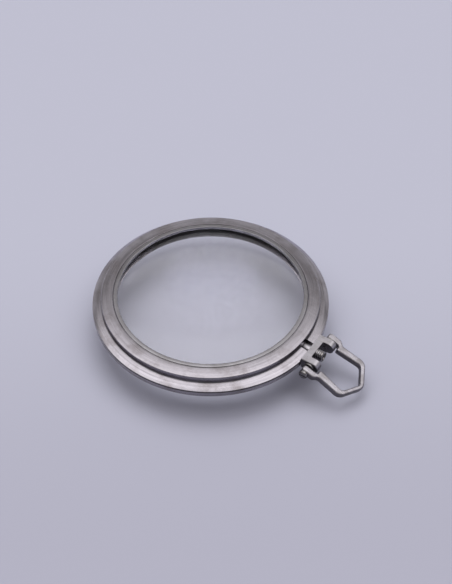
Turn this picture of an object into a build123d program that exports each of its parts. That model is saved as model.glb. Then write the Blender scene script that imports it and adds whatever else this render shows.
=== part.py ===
from build123d import *
import os
from math import cos, radians, sin

os.makedirs("parts", exist_ok=True)

# An empty open-face watch case with a domed crystal on both sides, a forked pendant and a swinging bow.
# Millimetres. The case axis is Z, the front faces +Z, and the pendant points along +X.
# The origin is on the case axis, in the middle of the band's thickness.

# Driving sizes of the case, and the widths of its rings from the rim inwards
case_radius = 25.0
band_half_height = 0.35
flange_width = 1.9
bezel_wall = 0.7
neck_wall = 0.5
crystal_seat_wall = 1.5
bezel_crown_width = 2.54
rim_ring_width = 0.93

# Fits and clearances
seat_gap = 0.02
snap_clearance = 0.04
slot_clearance = 0.2
roof_clearance = 0.1
running_clearance = 0.05
cut_overrun = 1.0

# Band, its neck and its ledge
neck_height = 1.15
ledge_width = 0.8
ledge_lip_height = 0.07
ledge_rise = 0.36
band_edge_chamfer = 0.05

# Casing ring inside the band
casing_ring_wall = 0.85
casing_ring_end_gap = 0.05
stem_notch_half = 0.75

# Cover flange, from its rim inwards
groove_height = 0.2
groove_depth = 0.55
flange_edge_height = 0.15
bevel_width = 0.9
bevel_rise = 0.36
flange_rise = 0.16

# Raised bezel
bezel_wall_height = 1.42
bezel_crown_rise = 0.3
bezel_crown_bulge = 0.05
bezel_corner_radius = 0.14
rim_line_chamfer = 0.11

# Crystal, its gasket and the ring that holds it
crystal_thickness = 1.0
crystal_lift = 0.1
dome_rise = 2.4
dome_foot_gap = 0.13
gasket_wall = 0.35
rim_ring_rise = 0.05
rim_ring_edge_radius = 0.06

# Back cover, whose wider and higher crystal sits straight in the bezel's wall
back_crown_rise = 0.2
back_rim_ring_width = 0.58
back_dome_rise = 3.95

# Seal on the neck's end face
seal_height = 0.24
seal_edge_gap = 0.03

# Crown tube
tube_bore_radius = 0.45
tube_shank_wall = 0.25
tube_mouth_step = 0.35
tube_thread_wall = 0.4
tube_stand = 1.65
tube_mouth_depth = 1.2
thread_pitch = 0.4
thread_depth = 0.13
thread_crest = 0.16
thread_end_chamfer = 0.1
tube_ring_cord_radius = 0.14

# Forked pendant
plate_overlap = 0.3
plate_thickness = 1.45
pendant_half_width = 3.9
pendant_half_height = 1.3
ear_length = 2.45
ear_thickness = 1.5
tang_wall = 0.28
pendant_edge_chamfer = 0.12
fork_root_radius = 0.3
pivot_step = 0.5

# Bow, along its own middle and sideways
bow_droop_degrees = 20.8
bow_half_thickness = 0.75
pad_thickness = 1.5
pad_wall = 0.5
pad_front_inset = 0.25
pad_end_radius = 0.62
shoulder_run = 0.95
shoulder_step = 0.9
arm_spread = 0.35
arm_lead = 0.35
bow_tip_wall = 1.1
window_lip = 1.2
window_spread = 0.7
window_length = 6.0
window_point = 2.15
ear_end_clearance = 0.2
shoulder_radius = 0.9
outer_shoulder_radius = 1.9
outer_tip_radius = 2.0
window_corner_radius = 0.9
window_root_radius = 0.25
window_lip_radius = 0.5
bow_edge_radius = 0.35

# Pivot screws and washers
screw_radius = 0.45
screw_head_overlap = 0.5
screw_head_height = 0.75
screw_head_edge = 0.18
screw_slot_width = 0.26
screw_slot_depth = 0.28
washer_overlap = 0.67
washer_thickness = 0.35

# Radii of the rings, from the rim inwards
bezel_radius = case_radius - flange_width
neck_radius = bezel_radius - bezel_wall
neck_bore_radius = neck_radius - neck_wall
casing_ring_bore_radius = neck_bore_radius - running_clearance - casing_ring_wall
ledge_radius = casing_ring_bore_radius - ledge_width
gasket_radius = bezel_radius - crystal_seat_wall
crystal_radius = gasket_radius - gasket_wall
rim_ring_radius = bezel_radius - bezel_crown_width
opening_radius = rim_ring_radius - rim_ring_width
dome_foot_radius = opening_radius - dome_foot_gap

# Heights above the middle of the band, which the band's and the back cover's depths below it share
seat_height = band_half_height + seat_gap
groove_roof = band_half_height + groove_height
flange_edge_top = groove_roof + flange_edge_height
bevel_top = flange_edge_top + bevel_rise
flange_foot = bevel_top + flange_rise
bezel_shoulder = flange_foot + bezel_wall_height
bezel_crest = bezel_shoulder + bezel_crown_rise
seal_bottom = neck_height + seat_gap
seal_top = seal_bottom + seal_height
seal_roof = seal_top + seat_gap
crystal_bottom = neck_height + crystal_lift
crystal_top = crystal_bottom + crystal_thickness
crystal_roof = crystal_top + seat_gap
dome_apex_height = crystal_top + dome_rise
ledge_foot_depth = neck_height - ledge_lip_height
ledge_top_depth = ledge_foot_depth - ledge_rise

# Radii and depths of the back cover
back_seat_radius = neck_radius + snap_clearance
back_crystal_radius = back_seat_radius - gasket_wall
back_opening_radius = back_seat_radius - back_rim_ring_width
back_dome_foot_radius = back_opening_radius - dome_foot_gap
back_crest_depth = bezel_shoulder + back_crown_rise
back_crystal_top_depth = seal_roof + crystal_thickness
back_crystal_roof_depth = back_crystal_top_depth + seat_gap
back_apex_depth = back_crystal_top_depth + back_dome_rise

# Radii of the tube, and places along the pendant
tube_shank_radius = tube_bore_radius + tube_shank_wall
tube_mouth_radius = tube_bore_radius + tube_mouth_step
tube_thread_radius = tube_mouth_radius + tube_thread_wall
tang_radius = tube_shank_radius + seat_gap + tang_wall
fork_half_gap = pendant_half_width - ear_thickness
plate_inner = case_radius - plate_overlap
fork_floor = plate_inner + plate_thickness
fork_end = fork_floor + ear_length
ear_round_place = fork_end - pendant_half_height
pivot_place = fork_floor + pivot_step
thread_start = fork_floor + seat_gap
tube_reach = fork_floor + tube_stand
mouth_floor = tube_reach - tube_mouth_depth

# Outline of the bow, counted from its pivot
pad_inner = pendant_half_width + 2 * running_clearance + washer_thickness
pad_outer = pad_inner + pad_thickness
pad_back = screw_radius + pad_wall
bow_step = fork_end - pivot_place + ear_end_clearance
pad_front = bow_step - pad_front_inset
arm_root_outer = pad_outer - shoulder_step
arm_tip_outer = arm_root_outer + arm_spread
window_root_half = pad_inner - window_lip
window_end_half = window_root_half + window_spread
window_end_reach = bow_step + window_length
window_tip_reach = window_end_reach + window_point
arm_outer_reach = window_end_reach + arm_lead
bow_tip_reach = window_tip_reach + bow_tip_wall

case_axis = Axis.Z
tube_axis = Axis.X
pivot_axis = Axis((pivot_place, 0, 0), (0, 1, 0))
bow_droop = radians(bow_droop_degrees)
bow_plane = Plane(
    origin=(pivot_place, 0, 0),
    x_dir=(cos(bow_droop), 0, -sin(bow_droop)),
    z_dir=(sin(bow_droop), 0, cos(bow_droop)),
)


def finish(piece, name):
    piece.part.label = name
    export_step(piece.part, f"parts/{name}.step")


# Band: a flat outer ring, a thin neck each way, and a sloped ledge that the casing ring stands on
with BuildPart() as case_band:
    with BuildSketch(Plane.XZ):
        with BuildLine():
            Polyline(
                (neck_bore_radius, neck_height),
                (neck_radius, neck_height),
                (neck_radius, band_half_height),
                (case_radius - band_edge_chamfer, band_half_height),
                (case_radius, band_half_height - band_edge_chamfer),
                (case_radius, band_edge_chamfer - band_half_height),
                (case_radius - band_edge_chamfer, -band_half_height),
                (neck_radius, -band_half_height),
                (neck_radius, -neck_height),
                (ledge_radius, -neck_height),
                (ledge_radius, -ledge_foot_depth),
                (casing_ring_bore_radius, -ledge_top_depth),
                (neck_bore_radius, -ledge_top_depth),
                close=True,
            )
        make_face()
    revolve(axis=case_axis)
    # Notch for the pendant's tang, and the flat that its plate stands against
    with BuildSketch(Plane.XY):
        with Locations((neck_radius, 0)):
            Rectangle(
                case_radius - neck_radius + cut_overrun,
                2 * (tang_radius + seat_gap),
                align=(Align.MIN, Align.CENTER),
            )
        with Locations((plate_inner - seat_gap, 0)):
            Rectangle(
                case_radius - plate_inner + cut_overrun,
                2 * (pendant_half_width + slot_clearance),
                align=(Align.MIN, Align.CENTER),
            )
    extrude(amount=band_half_height + seat_gap, both=True, mode=Mode.SUBTRACT)
    # Hole for the crown tube's shank
    with BuildSketch(Plane.YZ.offset(ledge_radius)):
        Circle(tube_shank_radius + seat_gap)
    extrude(amount=case_radius - ledge_radius, mode=Mode.SUBTRACT)
finish(case_band, "case_band")


# Casing ring: the black ring inside the band that a movement drops into
with BuildPart() as casing_ring:
    with BuildSketch(Plane.XY.offset(-ledge_top_depth + seat_gap)):
        Circle(neck_bore_radius - running_clearance)
        Circle(casing_ring_bore_radius, mode=Mode.SUBTRACT)
    extrude(amount=ledge_top_depth + neck_height - casing_ring_end_gap - seat_gap)
    # Notch that lets the winding stem in
    with BuildSketch(Plane.YZ.offset(ledge_radius)):
        with Locations((0, stem_notch_half)):
            Rectangle(
                2 * stem_notch_half,
                stem_notch_half + ledge_top_depth,
                align=(Align.CENTER, Align.MAX),
            )
    extrude(amount=neck_bore_radius - ledge_radius, mode=Mode.SUBTRACT)
finish(casing_ring, "casing_ring")


# Front bezel: a flange with a bevelled rim that rests on the band, and the raised ring inside it
with BuildPart() as front_bezel:
    with BuildSketch(Plane.XZ) as bezel_profile:
        with BuildLine():
            line_start = (rim_ring_radius + rim_line_chamfer, bezel_crest)
            crown_middle = (
                (bezel_radius + rim_ring_radius) / 2,
                (bezel_shoulder + bezel_crest) / 2 + bezel_crown_bulge,
            )
            Polyline(
                line_start,
                (rim_ring_radius, bezel_crest - rim_line_chamfer),
                (rim_ring_radius, crystal_roof),
                (gasket_radius, crystal_roof),
                (gasket_radius, seal_roof),
                (neck_radius + snap_clearance, seal_roof),
                (neck_radius + snap_clearance, seat_height),
                (case_radius - groove_depth, seat_height),
                (case_radius - groove_depth, groove_roof),
                (case_radius, groove_roof),
                (case_radius, flange_edge_top),
                (case_radius - bevel_width, bevel_top),
                (bezel_radius, flange_foot),
                (bezel_radius, bezel_shoulder),
            )
            ThreePointArc((bezel_radius, bezel_shoulder), crown_middle, line_start)
        make_face()
        corner = bezel_profile.vertices().sort_by_distance((bezel_radius, 0, bezel_shoulder))[0]
        fillet(corner, bezel_corner_radius)
    revolve(axis=case_axis)
    # Slot over the pendant's tang, and the flat that clears its plate
    with BuildSketch(Plane.XY):
        with Locations((neck_bore_radius, 0)):
            Rectangle(
                case_radius - neck_bore_radius + cut_overrun,
                2 * (tang_radius + slot_clearance),
                align=(Align.MIN, Align.CENTER),
            )
    extrude(amount=flange_foot + roof_clearance, mode=Mode.SUBTRACT)
    with BuildSketch(Plane.XY):
        with Locations((plate_inner - roof_clearance, 0)):
            Rectangle(
                case_radius - plate_inner + cut_overrun,
                2 * (pendant_half_width + slot_clearance),
                align=(Align.MIN, Align.CENTER),
            )
    extrude(amount=bezel_crest, mode=Mode.SUBTRACT)
finish(front_bezel, "front_bezel")


# Front crystal: a flat edge held in the bezel and a dome of even thickness
with BuildPart() as front_crystal:
    with BuildSketch(Plane.XZ):
        with BuildLine():
            dome_radius = (dome_foot_radius**2 + dome_rise**2) / (2 * dome_rise)
            half_place = dome_foot_radius / 2
            half_drop = dome_radius - (dome_radius**2 - half_place**2) ** 0.5
            inner_apex = dome_apex_height - crystal_thickness
            ThreePointArc(
                (dome_foot_radius, crystal_top),
                (half_place, dome_apex_height - half_drop),
                (0, dome_apex_height),
            )
            ThreePointArc(
                (0, inner_apex),
                (half_place, inner_apex - half_drop),
                (dome_foot_radius, crystal_bottom),
            )
            Line((0, dome_apex_height), (0, inner_apex))
            Polyline(
                (dome_foot_radius, crystal_bottom),
                (crystal_radius, crystal_bottom),
                (crystal_radius, crystal_top),
                (dome_foot_radius, crystal_top),
            )
        make_face()
    revolve(axis=case_axis)
finish(front_crystal, "front_crystal")


# Front crystal gasket: the black ring squeezed between the crystal's edge and the bezel
with BuildPart() as front_crystal_gasket:
    with BuildSketch(Plane.XY.offset(crystal_bottom)):
        Circle(gasket_radius - seat_gap)
        Circle(crystal_radius + seat_gap, mode=Mode.SUBTRACT)
    extrude(amount=crystal_thickness)
finish(front_crystal_gasket, "front_crystal_gasket")


# Front rim ring: the narrow steel ring pressed into the bezel over the crystal's edge
with BuildPart() as front_rim_ring:
    with BuildSketch(Plane.XZ) as rim_profile:
        with BuildLine():
            rim_outer = rim_ring_radius - seat_gap
            rim_top = bezel_crest - seat_gap
            Polyline(
                (opening_radius, crystal_roof),
                (rim_outer, crystal_roof),
                (rim_outer, rim_top - rim_line_chamfer),
                (rim_outer - rim_line_chamfer, rim_top),
                (opening_radius, rim_top + rim_ring_rise),
                close=True,
            )
        make_face()
        rim_lip = rim_profile.vertices().sort_by_distance((opening_radius, 0, bezel_crest))[0]
        fillet(rim_lip, rim_ring_edge_radius)
    revolve(axis=case_axis)
finish(front_rim_ring, "front_rim_ring")


# Front cover seal: a flat rubber ring on the end face of the band's neck
with BuildPart() as front_cover_seal:
    with BuildSketch(Plane.XY.offset(seal_bottom)):
        Circle(neck_radius - seal_edge_gap)
        Circle(neck_bore_radius + seal_edge_gap, mode=Mode.SUBTRACT)
    extrude(amount=seal_height)
finish(front_cover_seal, "front_cover_seal")


# Back bezel: a flange without a groove, and a plain wall with the crystal straight inside it
with BuildPart() as back_bezel:
    with BuildSketch(Plane.XZ) as back_profile:
        with BuildLine():
            Polyline(
                (back_seat_radius + rim_line_chamfer, -back_crest_depth),
                (back_seat_radius, rim_line_chamfer - back_crest_depth),
                (back_seat_radius, -seat_height),
                (case_radius, -seat_height),
                (case_radius, -flange_edge_top),
                (case_radius - bevel_width, -bevel_top),
                (bezel_radius, -flange_foot),
                (bezel_radius, -bezel_shoulder),
                close=True,
            )
        make_face()
        back_corners = back_profile.vertices().sort_by_distance((bezel_radius, 0, -bezel_shoulder))
        fillet(back_corners[0], bezel_corner_radius)
    revolve(axis=case_axis)
    # Slot under the pendant's tang, and the flat that clears its plate
    with BuildSketch(Plane.XY):
        with Locations((neck_bore_radius, 0)):
            Rectangle(
                case_radius - neck_bore_radius + cut_overrun,
                2 * (tang_radius + slot_clearance),
                align=(Align.MIN, Align.CENTER),
            )
    extrude(amount=-flange_foot - roof_clearance, mode=Mode.SUBTRACT)
    with BuildSketch(Plane.XY):
        with Locations((plate_inner - roof_clearance, 0)):
            Rectangle(
                case_radius - plate_inner + cut_overrun,
                2 * (pendant_half_width + slot_clearance),
                align=(Align.MIN, Align.CENTER),
            )
    extrude(amount=-back_crest_depth, mode=Mode.SUBTRACT)
finish(back_bezel, "back_bezel")


# Back crystal: wider and higher than the front one, and the case stands on it
with BuildPart() as back_crystal:
    with BuildSketch(Plane.XZ):
        with BuildLine():
            back_dome_radius = (back_dome_foot_radius**2 + back_dome_rise**2) / (2 * back_dome_rise)
            back_half_place = back_dome_foot_radius / 2
            back_half_drop = back_dome_radius - (back_dome_radius**2 - back_half_place**2) ** 0.5
            back_inner_apex = back_apex_depth - crystal_thickness
            ThreePointArc(
                (back_dome_foot_radius, -back_crystal_top_depth),
                (back_half_place, back_half_drop - back_apex_depth),
                (0, -back_apex_depth),
            )
            ThreePointArc(
                (0, -back_inner_apex),
                (back_half_place, back_half_drop - back_inner_apex),
                (back_dome_foot_radius, -seal_roof),
            )
            Line((0, -back_apex_depth), (0, -back_inner_apex))
            Polyline(
                (back_dome_foot_radius, -seal_roof),
                (back_crystal_radius, -seal_roof),
                (back_crystal_radius, -back_crystal_top_depth),
                (back_dome_foot_radius, -back_crystal_top_depth),
            )
        make_face()
    revolve(axis=case_axis)
finish(back_crystal, "back_crystal")


# Back crystal gasket: the black ring squeezed between the back crystal's edge and the wall
with BuildPart() as back_crystal_gasket:
    with BuildSketch(Plane.XY.offset(-seal_roof)):
        Circle(back_seat_radius - seat_gap)
        Circle(back_crystal_radius + seat_gap, mode=Mode.SUBTRACT)
    extrude(amount=-crystal_thickness)
finish(back_crystal_gasket, "back_crystal_gasket")


# Back rim ring: the slim steel ring pressed into the wall over the back crystal's edge
with BuildPart() as back_rim_ring:
    with BuildSketch(Plane.XZ) as back_rim_profile:
        with BuildLine():
            back_rim_outer = back_seat_radius - seat_gap
            back_rim_depth = back_crest_depth - seat_gap
            Polyline(
                (back_opening_radius, -back_crystal_roof_depth),
                (back_rim_outer, -back_crystal_roof_depth),
                (back_rim_outer, rim_line_chamfer - back_rim_depth),
                (back_rim_outer - rim_line_chamfer, -back_rim_depth),
                (back_opening_radius, -back_rim_depth - rim_ring_rise),
                close=True,
            )
        make_face()
        back_lips = back_rim_profile.vertices().sort_by_distance((back_opening_radius, 0, -back_crest_depth))
        fillet(back_lips[0], rim_ring_edge_radius)
    revolve(axis=case_axis)
finish(back_rim_ring, "back_rim_ring")


# Back cover seal: the front one turned over
with BuildPart() as back_cover_seal:
    add(mirror(front_cover_seal.part, about=Plane.XY))
finish(back_cover_seal, "back_cover_seal")


# Pendant: a forked block with a round tang that stands in the band's notch
with BuildPart() as pendant:
    with BuildSketch(Plane.XY) as pendant_plan:
        with Locations((plate_inner, 0)):
            Rectangle(
                fork_end - plate_inner,
                2 * pendant_half_width,
                align=(Align.MIN, Align.CENTER),
            )
        with Locations((fork_floor, 0)):
            Rectangle(
                fork_end - fork_floor,
                2 * fork_half_gap,
                align=(Align.MIN, Align.CENTER),
                mode=Mode.SUBTRACT,
            )
        fork_roots = pendant_plan.vertices().group_by(Axis.X)[1]
        fillet(fork_roots, fork_root_radius)
    extrude(amount=pendant_half_height, both=True)
    # Round the ears' ends
    with BuildSketch(Plane.XZ):
        with Locations((plate_inner, 0)):
            Rectangle(
                ear_round_place - plate_inner,
                2 * pendant_half_height,
                align=(Align.MIN, Align.CENTER),
            )
        with Locations((ear_round_place, 0)):
            Circle(pendant_half_height)
    extrude(amount=pendant_half_width, both=True, mode=Mode.INTERSECT)
    with BuildSketch(Plane.YZ.offset(neck_radius + seat_gap)):
        Circle(tang_radius)
    extrude(amount=plate_inner - neck_radius - seat_gap)
    # Bore for the crown tube and holes for the pivot screws
    with BuildSketch(Plane.YZ.offset(neck_bore_radius)):
        Circle(tube_shank_radius + seat_gap)
    extrude(amount=fork_floor - neck_bore_radius + cut_overrun, mode=Mode.SUBTRACT)
    with BuildSketch(Plane.XZ):
        with Locations((pivot_place, 0)):
            Circle(screw_radius + seat_gap)
    extrude(amount=pendant_half_width + cut_overrun, both=True, mode=Mode.SUBTRACT)
    # Break the edges along the two outer sides
    side_faces = pendant.faces().filter_by(Axis.Y).sort_by(Axis.Y)
    side_edges = side_faces[0].outer_wire().edges() + side_faces[-1].outer_wire().edges()
    chamfer(side_edges.filter_by(Axis.Z, reverse=True), pendant_edge_chamfer)
finish(pendant, "pendant")


# Crown tube: a shank through the pendant and the band's neck, and a threaded mouth in the fork
thread_length = tube_reach - thread_end_chamfer - thread_start
groove_width = thread_pitch - thread_crest
thread_count = int(thread_length / thread_pitch)
with BuildPart() as crown_tube:
    with BuildSketch(Plane.XZ):
        with BuildLine():
            groove_points = []
            for turn in range(thread_count):
                groove_edge = thread_start + thread_crest + turn * thread_pitch
                groove_points.append((groove_edge, tube_thread_radius))
                groove_points.append((groove_edge + groove_width / 2, tube_thread_radius - thread_depth))
                groove_points.append((groove_edge + groove_width, tube_thread_radius))
            Polyline(
                (neck_bore_radius, tube_bore_radius),
                (neck_bore_radius, tube_shank_radius),
                (thread_start, tube_shank_radius),
                (thread_start, tube_thread_radius),
                *groove_points,
                (tube_reach - thread_end_chamfer, tube_thread_radius),
                (tube_reach, tube_thread_radius - thread_end_chamfer),
                (tube_reach, tube_mouth_radius),
                (mouth_floor, tube_mouth_radius),
                (mouth_floor, tube_bore_radius),
                close=True,
            )
        make_face()
    revolve(axis=tube_axis)
finish(crown_tube, "crown_tube")


# Crown tube ring: the small rubber ring at the bottom of the tube's mouth
with BuildPart() as crown_tube_ring:
    with BuildSketch(Plane.XZ):
        cord_inset = tube_ring_cord_radius + seat_gap
        with Locations((mouth_floor + cord_inset, tube_mouth_radius - cord_inset)):
            Circle(tube_ring_cord_radius)
    revolve(axis=tube_axis)
finish(crown_tube_ring, "crown_tube_ring")


# Bow: two pads beside the fork's ears, two arms and a blunt point
with BuildPart() as bow:
    with BuildSketch(bow_plane):
        with BuildLine():
            side_points = [
                (bow_step, pad_inner),
                (-pad_back, pad_inner),
                (-pad_back, pad_outer),
                (pad_front, pad_outer),
                (pad_front + shoulder_run, arm_root_outer),
                (arm_outer_reach, arm_tip_outer),
            ]
            side_radii = [
                window_root_radius,
                pad_end_radius,
                pad_end_radius,
                shoulder_radius,
                shoulder_radius,
                outer_shoulder_radius,
            ]
            window_points = [(window_end_reach, window_end_half), (bow_step, window_root_half)]
            window_radii = [window_corner_radius, window_lip_radius]
            outline = side_points + [(bow_tip_reach, 0)]
            outline += [(along, -across) for along, across in reversed(side_points)]
            outline += [(along, -across) for along, across in reversed(window_points)]
            outline += [(window_tip_reach, 0)] + window_points
            radii = side_radii + [outer_tip_radius] + side_radii[::-1]
            radii += window_radii[::-1] + [window_corner_radius] + window_radii
            FilletPolyline(*outline, radius=radii, close=True)
        make_face()
    extrude(amount=bow_half_thickness, both=True)
    face_edges = bow.faces().filter_by(Plane(bow_plane.origin, z_dir=bow_plane.z_dir)).edges()
    fillet(face_edges, bow_edge_radius)
    with BuildSketch(Plane.XZ):
        with Locations((pivot_place, 0)):
            Circle(screw_radius + running_clearance)
    extrude(amount=pad_outer + cut_overrun, both=True, mode=Mode.SUBTRACT)
finish(bow, "bow")


# Left pivot screw: it goes through a pad and a washer into an ear, and its slotted head stays outside
head_seat = pad_outer + running_clearance
head_top = head_seat + screw_head_height
head_radius = screw_radius + screw_head_overlap
with BuildPart() as bow_screw_left:
    with BuildSketch(Plane.XY):
        with BuildLine():
            Polyline(
                (pivot_place, -fork_half_gap),
                (pivot_place + screw_radius, -fork_half_gap),
                (pivot_place + screw_radius, -head_seat),
                (pivot_place + head_radius, -head_seat),
                (pivot_place + head_radius, screw_head_edge - head_top),
                (pivot_place + head_radius - screw_head_edge, -head_top),
                (pivot_place, -head_top),
                close=True,
            )
        make_face()
    revolve(axis=pivot_axis)
    with BuildSketch(Plane.XZ.offset(head_top)):
        with Locations((pivot_place, 0)):
            Rectangle(2 * head_radius + cut_overrun, screw_slot_width)
    extrude(amount=-screw_slot_depth, mode=Mode.SUBTRACT)
finish(bow_screw_left, "bow_screw_left")


# Right pivot screw: headless, with its slotted end level with the pad
with BuildPart() as bow_screw_right:
    with BuildSketch(Plane.XZ.offset(-fork_half_gap)):
        with Locations((pivot_place, 0)):
            Circle(screw_radius)
    extrude(amount=fork_half_gap - pad_outer)
    with BuildSketch(Plane.XZ.offset(-pad_outer)):
        with Locations((pivot_place, 0)):
            Rectangle(2 * screw_radius + cut_overrun, screw_slot_width)
    extrude(amount=screw_slot_depth, mode=Mode.SUBTRACT)
finish(bow_screw_right, "bow_screw_right")


# Washers between the ears and the bow's pads
for side, washer_name in ((1, "bow_washer_right"), (-1, "bow_washer_left")):
    with BuildPart() as bow_washer:
        with BuildSketch(Plane.XZ.offset(-side * (pendant_half_width + running_clearance))):
            with Locations((pivot_place, 0)):
                Circle(screw_radius + washer_overlap)
                Circle(screw_radius + running_clearance, mode=Mode.SUBTRACT)
        extrude(amount=-side * washer_thickness)
    finish(bow_washer, washer_name)
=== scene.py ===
from math import cos, pi, radians, sin

import bmesh
import bpy
from mathutils import Matrix, Vector


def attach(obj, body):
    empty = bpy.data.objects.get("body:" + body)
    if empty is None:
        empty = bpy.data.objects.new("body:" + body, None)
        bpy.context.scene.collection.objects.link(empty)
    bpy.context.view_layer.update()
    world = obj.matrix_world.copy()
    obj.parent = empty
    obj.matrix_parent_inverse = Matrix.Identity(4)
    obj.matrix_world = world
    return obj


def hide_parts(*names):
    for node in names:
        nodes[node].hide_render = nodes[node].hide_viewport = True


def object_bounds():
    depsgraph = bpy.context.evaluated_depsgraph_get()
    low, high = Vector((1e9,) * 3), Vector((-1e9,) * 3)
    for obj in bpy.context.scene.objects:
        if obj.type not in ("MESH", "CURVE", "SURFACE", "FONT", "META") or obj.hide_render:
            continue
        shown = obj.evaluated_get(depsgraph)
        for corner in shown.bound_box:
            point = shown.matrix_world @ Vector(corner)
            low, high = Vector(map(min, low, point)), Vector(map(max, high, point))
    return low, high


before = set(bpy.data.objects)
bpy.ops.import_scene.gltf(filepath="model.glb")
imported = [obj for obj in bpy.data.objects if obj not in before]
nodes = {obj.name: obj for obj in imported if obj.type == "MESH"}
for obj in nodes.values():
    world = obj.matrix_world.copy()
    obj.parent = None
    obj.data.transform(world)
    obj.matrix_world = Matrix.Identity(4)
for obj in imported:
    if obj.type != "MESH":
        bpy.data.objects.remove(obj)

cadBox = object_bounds()
scene = bpy.context.scene
mm = 0.001
creaseAngle = radians(35)
weldDistance = 0.0005 * mm
seamDistance = 0.001 * mm

print("frame loaded")


def linear(hexColor):
    # sRGB hex to the linear colour that a socket wants
    parts = [int(hexColor[i:i + 2], 16) / 255 for i in (1, 3, 5)]
    return tuple(p / 12.92 if p <= 0.04045 else ((p + 0.055) / 1.055) ** 2.4 for p in parts) + (1,)


def addNode(tree, kind, settings=None, **links):
    # One node with its settings; in0=, in1= fill sockets by number and other names fill them by name.
    # A Mix node's two colours are in6 and in7, and its mixed colour is output 2
    node = tree.nodes.new(kind)
    for key, value in (settings or {}).items():
        setattr(node, key, value)
    for key, value in links.items():
        numbered = key.startswith("in") and key[2:].isdigit()
        socket = node.inputs[int(key[2:])] if numbered else node.inputs[key.replace("_", " ")]
        if isinstance(value, bpy.types.NodeSocket):
            tree.links.new(value, socket)
        else:
            socket.default_value = value
    return node


def wayTo(azimuth, elevation):
    # Unit direction, with azimuth 0 toward -Y and counted toward +X
    turn, tilt = radians(azimuth), radians(elevation)
    return Vector((sin(turn) * cos(tilt), -cos(turn) * cos(tilt), sin(tilt)))


def newMaterial(name, centre=(0, 0, 0), turn=(0, 0, 0), **values):
    # A Principled material with its tree, its shader, and the place on the piece in millimetres
    material = bpy.data.materials.new(name)
    material.use_nodes = True
    tree = material.node_tree
    shader = tree.nodes["Principled BSDF"]
    for key, value in values.items():
        shader.inputs[key.replace("_", " ")].default_value = value
    place = addNode(tree, "ShaderNodeTexCoord").outputs["Object"]
    own = addNode(tree, "ShaderNodeMapping", None, Vector=place, Location=centre, Rotation=turn,
                  Scale=(1 / mm,) * 3).outputs["Vector"]
    return material, tree, shader, own


# Camera, fitted to the photograph's ellipses
cameraSpec = {
    "azimuth": 33.5,
    "elevation": 47.03,
    "roll": 0.078,
    "distance": 254.35 * mm,
    "aim": (2.09 * mm, 2.70 * mm, 1.72 * mm),
    "lens": 73.97,
    "sensor": 36,
    "clip": (10 * mm, 20),
}


def makeCamera(spec):
    back = wayTo(spec["azimuth"], spec["elevation"])
    data = bpy.data.cameras.new("camera")
    data.sensor_width = spec["sensor"]
    data.lens = spec["lens"]
    data.clip_start, data.clip_end = spec["clip"]
    camera = bpy.data.objects.new("camera", data)
    scene.collection.objects.link(camera)
    place = Matrix.Translation(Vector(spec["aim"]) + back * spec["distance"])
    facing = (-back).to_track_quat("-Z", "Y").to_matrix().to_4x4()
    camera.matrix_world = place @ facing @ Matrix.Rotation(radians(spec["roll"]), 4, "Z")
    scene.camera = camera


makeCamera(cameraSpec)
scene.view_settings.view_transform = "Standard"
print("camera placed")


# Studio: a pale floor under one wide soft box overhead, with a pale wall behind the case.
# Each panel's edges are distances behind the case (or to its side), as a share of the height above it.
# The floor's painted shade, darker away from the window, fades in over millimetres toward it.
studioSpec = {
    "floorFar": "#C2C3D3",
    "floorShadedNear": "#B6B6C6",
    "floorShadeFade": (-60.0, 30.0),
    "floorSize": 6.0,
    "behind": 213.5,
    "leastHeight": 0.001,
    "panels": [
        {"level": (1.38, 1.36, 1.37), "from": (-0.52, -0.18), "to": (1.26, 0.14), "side": (1.5, 1.0)},
        {"level": (0.34, 0.34, 0.35), "from": (1.12, 1.42), "to": (60.0, 50.0), "side": (60.0, 20.0)},
    ],
    "windowElevation": 61,
    "windowAngle": 44,
    "windowStrength": 0.9,
    "roomColor": (0.165, 0.157, 0.156, 1),
    "horizonFrom": 5,
    "horizonTo": 15,
}


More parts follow.
